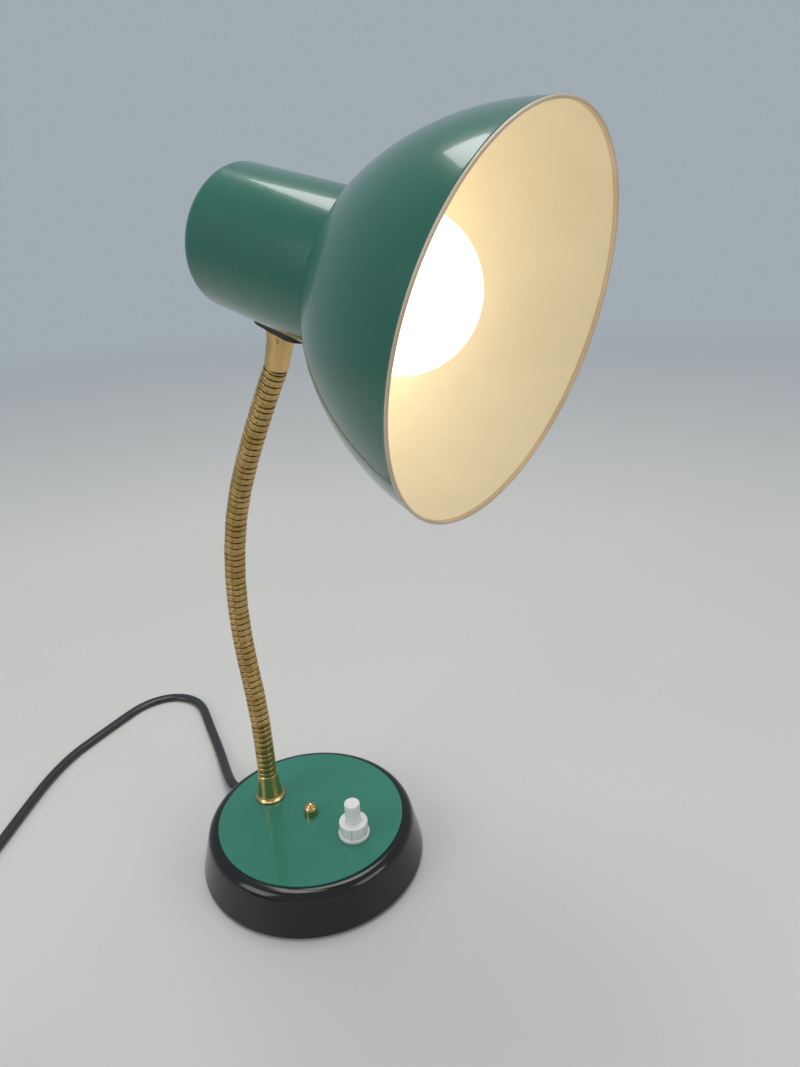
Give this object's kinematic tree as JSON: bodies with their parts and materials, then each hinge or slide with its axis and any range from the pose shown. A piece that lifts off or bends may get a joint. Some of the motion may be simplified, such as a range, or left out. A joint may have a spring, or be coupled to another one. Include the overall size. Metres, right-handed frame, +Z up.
{
  "type": "desk lamp",
  "caption": "Desk lamp with a round weighted base, a push switch, a ribbed bendable neck and a dome shade on a tapered lamp housing.",
  "frame": {"origin": "centre of the base's underside", "axes": "+Z up; the shade faces -Y; the neck stands behind the base's centre, on +Y"},
  "size_m": [0.3501, 0.3402, 0.364],
  "materials": {
    "green_paint": "gloss enamel, green outside and off-white inside the shade",
    "brass": "bright lacquered brass",
    "steel": "zinc plated",
    "iron": "rough cast",
    "black_plastic": "gloss black",
    "white_plastic": "gloss white",
    "black_rubber": "matt black",
    "felt": "felt",
    "holder_plastic": "moulded resin",
    "opal_glass": "opal coated",
    "cap_metal": "rolled thread",
    "bulb_inner": "clear glass stem with metal lead wires",
    "black_glass": "black vitrite",
    "contact_metal": "plain",
    "grey_sheath": "insulation"
  },
  "bodies": {
    "base": {"base_shell": "black_plastic", "top_plate": "green_paint", "base_weight": "iron", "bottom_cover": "steel", "felt_pad": "felt", "tie_screw": "steel", "spacer_tube": "steel", "acorn_nut": "brass", "lower_nipple": "steel", "lower_nipple_nut": "steel", "lower_ferrule": "brass", "neck_segment_01": "brass", "neck_flex": "grey_sheath", "switch_body": "holder_plastic", "switch_collar": "white_plastic", "fixed_contacts": "contact_metal", "button_spring": "steel", "base_wires": "grey_sheath", "cord_gland": "black_rubber", "inner_cord": "black_plastic", "cord_clamp": "holder_plastic", "clamp_screws": "steel", "cord_lead": "black_plastic", "cord_coil": "black_plastic", "coil_tie": "black_plastic", "plug_body": "black_plastic", "plug_pins": "contact_metal"},
    "neck_02": {"neck_segment_02": "brass"},
    "neck_03": {"neck_segment_03": "brass"},
    "neck_04": {"neck_segment_04": "brass"},
    "neck_05": {"neck_segment_05": "brass"},
    "neck_06": {"neck_segment_06": "brass"},
    "neck_07": {"neck_segment_07": "brass"},
    "neck_08": {"neck_segment_08": "brass"},
    "neck_09": {"neck_segment_09": "brass"},
    "neck_10": {"neck_segment_10": "brass"},
    "neck_11": {"neck_segment_11": "brass"},
    "neck_12": {"neck_segment_12": "brass"},
    "neck_13": {"neck_segment_13": "brass"},
    "head": {"neck_segment_14": "brass", "upper_ferrule": "brass", "saddle_gasket": "black_rubber", "upper_nipple": "steel", "upper_nipple_nut": "steel", "rear_housing": "green_paint", "shade": "green_paint", "holder_bracket": "steel", "lampholder_body": "holder_plastic", "screw_shell": "contact_metal", "shade_ring": "holder_plastic", "centre_contact": "contact_metal", "holder_screws": "steel", "bulb_glass": "opal_glass", "bulb_cap": "cap_metal", "bulb_insulator": "black_glass", "bulb_contact": "contact_metal", "bulb_filament_mount": "bulb_inner", "head_wires": "grey_sheath"},
    "button": {"push_button": "white_plastic", "contact_bridge": "contact_metal"}
  },
  "joints": [
    {"name": "neck_lower_nod_01", "type": "hinge", "parent": "base", "child": "neck_02", "pos_m": [-0.002, 0.02933, 0.05903], "axis": [1, 0, 0], "range_deg": [-9, 9], "deforming": ["neck_flex"]},
    {"name": "neck_lower_sway_02", "type": "hinge", "parent": "neck_02", "child": "neck_03", "pos_m": [-0.002, 0.02963, 0.07636], "axis": [0, 0.9988, -0.0489], "range_deg": [-9, 9]},
    {"name": "neck_lower_nod_03", "type": "hinge", "parent": "neck_03", "child": "neck_04", "pos_m": [-0.002, 0.03102, 0.09363], "axis": [1, 0, 0], "range_deg": [-9, 9]},
    {"name": "neck_lower_sway_04", "type": "hinge", "parent": "neck_04", "child": "neck_05", "pos_m": [-0.002, 0.0332, 0.11083], "axis": [0, 0.9939, -0.1106], "range_deg": [-9, 9]},
    {"name": "neck_lower_nod_05", "type": "hinge", "parent": "neck_05", "child": "neck_06", "pos_m": [-0.002, 0.03486, 0.12807], "axis": [1, 0, 0], "range_deg": [-9, 9]},
    {"name": "neck_lower_sway_06", "type": "hinge", "parent": "neck_06", "child": "neck_07", "pos_m": [-0.002, 0.03513, 0.1454], "axis": [0, 0.9997, 0.0236], "range_deg": [-9, 9]},
    {"name": "neck_lower_nod_07", "type": "hinge", "parent": "neck_07", "child": "neck_08", "pos_m": [-0.002, 0.03404, 0.1627], "axis": [1, 0, 0], "range_deg": [-9, 9]},
    {"name": "neck_upper_sway_08", "type": "hinge", "parent": "neck_08", "child": "neck_09", "pos_m": [-0.002, 0.03145, 0.17983], "axis": [0, 0.981, 0.1942], "range_deg": [-9, 9]},
    {"name": "neck_upper_nod_09", "type": "hinge", "parent": "neck_09", "child": "neck_10", "pos_m": [-0.002, 0.02732, 0.19666], "axis": [1, 0, 0], "range_deg": [-9, 9]},
    {"name": "neck_upper_sway_10", "type": "hinge", "parent": "neck_10", "child": "neck_11", "pos_m": [-0.002, 0.02156, 0.21301], "axis": [0, 0.9272, 0.3746], "range_deg": [-9, 9]},
    {"name": "neck_upper_nod_11", "type": "hinge", "parent": "neck_11", "child": "neck_12", "pos_m": [-0.002, 0.01435, 0.22877], "axis": [1, 0, 0], "range_deg": [-9, 9]},
    {"name": "neck_upper_sway_12", "type": "hinge", "parent": "neck_12", "child": "neck_13", "pos_m": [-0.002, 0.00632, 0.24413], "axis": [0, 0.8809, 0.4733], "range_deg": [-9, 9]},
    {"name": "neck_upper_nod_13", "type": "hinge", "parent": "neck_13", "child": "head", "pos_m": [-0.002, -0.00206, 0.2593], "axis": [1, 0, 0], "range_deg": [-9, 9]},
    {"name": "button_travel", "type": "slide", "parent": "base", "child": "button", "axis": [0, 0, 1], "range_m": [-0.003, 0], "stiffness_N_per_m": 1000, "springref_m": 0.001, "deforming": ["button_spring"]}
  ],
  "couplings": [
    {"joint": "neck_lower_nod_03", "follows": "neck_lower_nod_01", "ratio": 1},
    {"joint": "neck_lower_nod_05", "follows": "neck_lower_nod_01", "ratio": 1},
    {"joint": "neck_lower_nod_07", "follows": "neck_lower_nod_01", "ratio": 1},
    {"joint": "neck_lower_sway_04", "follows": "neck_lower_sway_02", "ratio": 1},
    {"joint": "neck_lower_sway_06", "follows": "neck_lower_sway_02", "ratio": 1},
    {"joint": "neck_upper_nod_11", "follows": "neck_upper_nod_09", "ratio": 1},
    {"joint": "neck_upper_nod_13", "follows": "neck_upper_nod_09", "ratio": 1},
    {"joint": "neck_upper_sway_10", "follows": "neck_upper_sway_08", "ratio": 1},
    {"joint": "neck_upper_sway_12", "follows": "neck_upper_sway_08", "ratio": 1}
  ]
}
